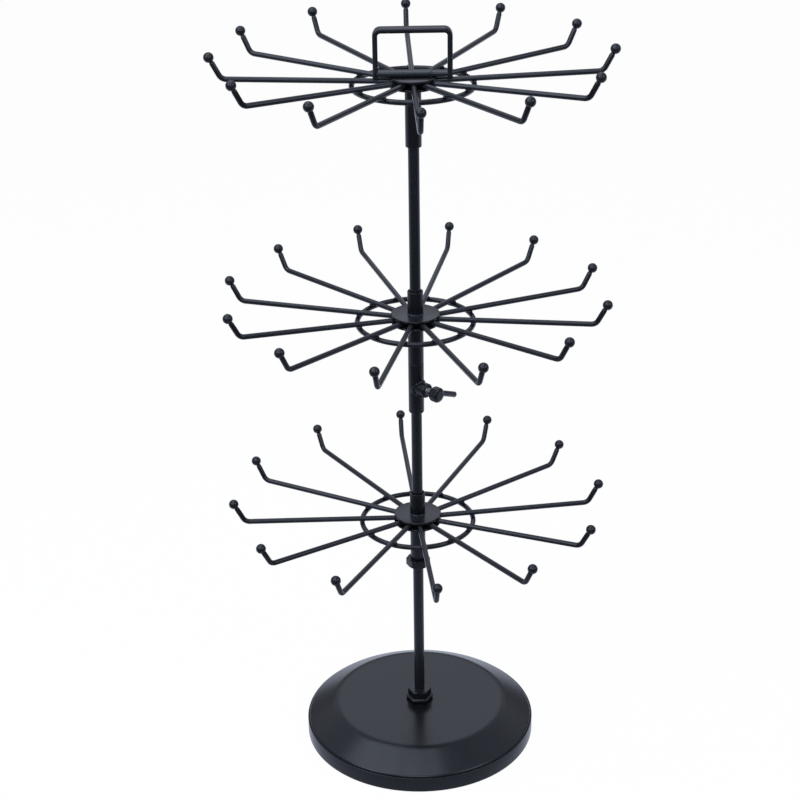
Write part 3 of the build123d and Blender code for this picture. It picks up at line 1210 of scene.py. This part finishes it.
@dataclass
class Studio:
    """A pale floor, a white world and five soft lamps.

    Reflections show a room whose low horizon and whose floor in front of the stand are darker, as
    the gloss on the pole and the wires in the photograph does. A camera sees white all round.
    Lengths are in metres.
    """

    floor_side: float = 30.0
    floor_colour: str = "#f4f4f4"
    floor_light: float = 0.97
    dark_patch_middle: float = -1.1
    dark_patch_reach: Pair = (0.65, 1.1)
    dark_patch_light: float = 0.2
    world_light: float = 0.25
    world_colour: str = "#eaf0ff"
    mirror_colour: str = "#e2eaff"
    dim_horizon_light: float = 0.3
    dim_horizon_heights: Pair = (0.22, 0.45)
    behind_camera_light: float = 0.4
    lamp_colour: str = "#eef3ff"
    aim_height: float = 0.2
    softbox_side: float = 1.1
    top_place: Triple = (-0.3, -0.1, 1.35)
    back_side: float = 1.3
    back_place: Triple = (0.1, 2.4, 2.15)
    front_distance: float = 1.75
    front_height: float = 1.4
    front_places: Triple = (-1.45, -0.1, 1.45)
    top_power: float = 10.0
    back_power: float = 3.3
    front_powers: Triple = (15.5, 12.0, 11.0)

    def seen_directly(self, tree: bpy.types.NodeTree) -> bpy.types.NodeSocket:
        """Tell the rays that show the floor from those that only light the stand.

        Args:
            tree: the floor's node tree.

        Returns:
            A socket that is 1 for a camera, glossy or transmission ray, and 0 for others.
        """
        path = add_node(tree, "ShaderNodeLightPath")
        either = add_node(tree, "ShaderNodeMath", {
            0: path.outputs["Is Camera Ray"], 1: path.outputs["Is Glossy Ray"],
        }, operation="MAXIMUM")
        every = add_node(tree, "ShaderNodeMath", {
            0: either.outputs[0], 1: path.outputs["Is Transmission Ray"],
        }, operation="MAXIMUM")
        return every.outputs[0]

    def floor(self) -> None:
        """Lay a pale floor that keeps the stand's shadow."""
        bpy.ops.mesh.primitive_plane_add(size=self.floor_side)
        ground = bpy.context.object
        ground.name = "studio_floor"
        material, tree = new_material("pale_floor")
        matt = add_node(tree, "ShaderNodeBsdfDiffuse", {"Color": linear_colour(self.floor_colour)})
        mirrored = add_node(tree, "ShaderNodeLightPath").outputs["Is Glossy Ray"]
        place = add_node(tree, "ShaderNodeSeparateXYZ", {
            0: add_node(tree, "ShaderNodeTexCoord").outputs["Object"],
        })
        from_patch = add_node(tree, "ShaderNodeMath", {
            0: place.outputs["Y"], 1: self.dark_patch_middle,
        }, operation="SUBTRACT")
        away = add_node(tree, "ShaderNodeMath", {0: from_patch.outputs[0]}, operation="ABSOLUTE")
        front = add_node(tree, "ShaderNodeMapRange", {
            "Value": away.outputs[0],
            "From Min": self.dark_patch_reach[0], "From Max": self.dark_patch_reach[1],
            "To Min": self.dark_patch_light, "To Max": 1.0,
        })
        strength = add_node(tree, "ShaderNodeMix", {
            "Factor": mirrored, NUMBER_A: 1.0, NUMBER_B: front.outputs["Result"],
        })
        colour = add_node(tree, "ShaderNodeMix", {
            "Factor": mirrored,
            COLOUR_A: linear_colour(WHITE),
            COLOUR_B: linear_colour(self.mirror_colour),
        }, data_type="RGBA")
        glow = add_node(tree, "ShaderNodeEmission", {
            "Color": colour.outputs[MIXED_COLOUR], "Strength": strength.outputs[MIXED_NUMBER],
        })
        share = add_node(tree, "ShaderNodeMath", {
            0: self.seen_directly(tree), 1: self.floor_light,
        }, operation="MULTIPLY")
        both = add_node(tree, "ShaderNodeMixShader", {
            0: share.outputs[0], 1: matt.outputs[0], 2: glow.outputs[0],
        })
        add_node(tree, "ShaderNodeOutputMaterial", {"Surface": both.outputs[0]})
        ground.data.materials.append(material)

    def world(self) -> None:
        """Surround the stand with soft light that looks white."""
        world = bpy.data.worlds.new("white_studio")
        bpy.context.scene.world = world
        world.use_nodes = True
        tree = world.node_tree
        tree.nodes.clear()
        path = add_node(tree, "ShaderNodeLightPath")
        way = add_node(tree, "ShaderNodeSeparateXYZ", {
            0: add_node(tree, "ShaderNodeTexCoord").outputs["Generated"],
        })
        by_height = add_node(tree, "ShaderNodeMapRange", {
            "Value": way.outputs["Z"],
            "From Min": self.dim_horizon_heights[0], "From Max": self.dim_horizon_heights[1],
            "To Min": self.dim_horizon_light, "To Max": 1.0,
        })
        by_depth = add_node(tree, "ShaderNodeMapRange", {
            "Value": way.outputs["Y"],
            "From Min": -1.0, "From Max": 0.0, "To Min": self.behind_camera_light, "To Max": 1.0,
        })
        mirrored = add_node(tree, "ShaderNodeMath", {
            0: by_height.outputs["Result"], 1: by_depth.outputs["Result"],
        }, operation="MULTIPLY")
        unseen = add_node(tree, "ShaderNodeMix", {
            "Factor": path.outputs["Is Glossy Ray"],
            NUMBER_A: self.world_light,
            NUMBER_B: mirrored.outputs[0],
        })
        plain = add_node(tree, "ShaderNodeMath", {
            0: path.outputs["Is Camera Ray"], 1: path.outputs["Is Transmission Ray"],
        }, operation="MAXIMUM")
        strength = add_node(tree, "ShaderNodeMix", {
            "Factor": plain.outputs[0], NUMBER_A: unseen.outputs[MIXED_NUMBER], NUMBER_B: 1.0,
        })
        colour = add_node(tree, "ShaderNodeMix", {
            "Factor": plain.outputs[0],
            COLOUR_A: linear_colour(self.world_colour),
            COLOUR_B: linear_colour(WHITE),
        }, data_type="RGBA")
        light = add_node(tree, "ShaderNodeBackground", {
            "Color": colour.outputs[MIXED_COLOUR], "Strength": strength.outputs[MIXED_NUMBER],
        })
        add_node(tree, "ShaderNodeOutputWorld", {"Surface": light.outputs[0]})

    def lamp(self, name: str, place: Vector, aim: Vector, side: float, power: float) -> None:
        """Hang one soft square lamp.

        Args:
            name: the lamp's name.
            place: where it hangs, in metres.
            aim: the point that it faces.
            side: the length of its side.
            power: its power in watts.
        """
        data = bpy.data.lights.new(name, "AREA")
        data.shape = "SQUARE"
        data.size = side
        data.energy = power
        data.color = linear_colour(self.lamp_colour)[:3]
        lamp = bpy.data.objects.new(name, data)
        lamp.location = place
        lamp.rotation_euler = (aim - place).to_track_quat("-Z", "Y").to_euler()
        bpy.context.scene.collection.objects.link(lamp)

    def build(self) -> None:
        """Build floor, world and lamps."""
        self.floor()
        self.world()
        middle = Vector((0, 0, self.aim_height))
        self.lamp("top_softbox", Vector(self.top_place), middle, self.softbox_side, self.top_power)
        self.lamp("back_softbox", Vector(self.back_place), middle, self.back_side, self.back_power)
        names = ("left", "middle", "right")
        for name, across, power in zip(names, self.front_places, self.front_powers):
            depth = -math.sqrt(self.front_distance ** 2 - across ** 2)
            place = Vector((across, depth, self.front_height))
            self.lamp(f"{name}_front_softbox", place, middle, self.softbox_side, power)


@dataclass
class PhotoCamera:
    """The photograph's viewpoint, as it was fitted to the hook tips, discs, rings and base.

    Its distance, aim and sensor are in millimetres, its angles in degrees, and the farthest point
    that it shows is in metres.
    """

    focal_pixels: float = 1915.1
    distance: float = 1204.2
    pitch: float = 25.487
    roll: float = -0.872
    aim_across: float = -10.3
    aim_height: float = 246.13
    sensor_side: float = 36.0
    farthest: float = 50.0

    def build(self) -> None:
        """Add the camera and make it the scene's own."""
        pitch, roll = math.radians(self.pitch), math.radians(self.roll)
        ahead = Vector((0, math.cos(pitch), -math.sin(pitch)))
        level = Vector((1, 0, 0))
        upright = level.cross(ahead)
        right = level * math.cos(roll) + upright * math.sin(roll)
        data = bpy.data.cameras.new("photo_camera")
        data.sensor_width = self.sensor_side
        data.lens = self.focal_pixels / IMAGE_SIDE * self.sensor_side
        data.clip_end = self.farthest
        camera = bpy.data.objects.new("photo_camera", data)
        place = Vector((self.aim_across, 0, self.aim_height)) - ahead * self.distance
        turn = Matrix((right, right.cross(ahead), -ahead)).transposed().to_4x4()
        camera.matrix_world = Matrix.Translation(place * MILLIMETRE) @ turn
        bpy.context.scene.collection.objects.link(camera)
        bpy.context.scene.camera = camera


def main() -> None:
    """Build every sub-assembly, the studio and the camera."""
    logging.basicConfig(level=logging.INFO, format="%(name)s: %(message)s")
    bpy.context.scene.view_settings.view_transform = "Standard"
    finishes = Finishes()
    WeightedBase(finishes).build()
    HookWheel(finishes, "lower", turn=4.9, disc_radius=15.1, hub_top=HubTop.OPEN).build()
    HookWheel(finishes, "middle", turn=18.1, disc_radius=15.1, hub_top=HubTop.OPEN).build()
    HookWheel(finishes, "upper", turn=1.4, disc_radius=14.2, hub_top=HubTop.CLOSED).build()
    ClampCollar(finishes).build()
    CarryHandle(finishes).build()
    Studio().build()
    PhotoCamera().build()


if __name__ == "__main__":
    main()
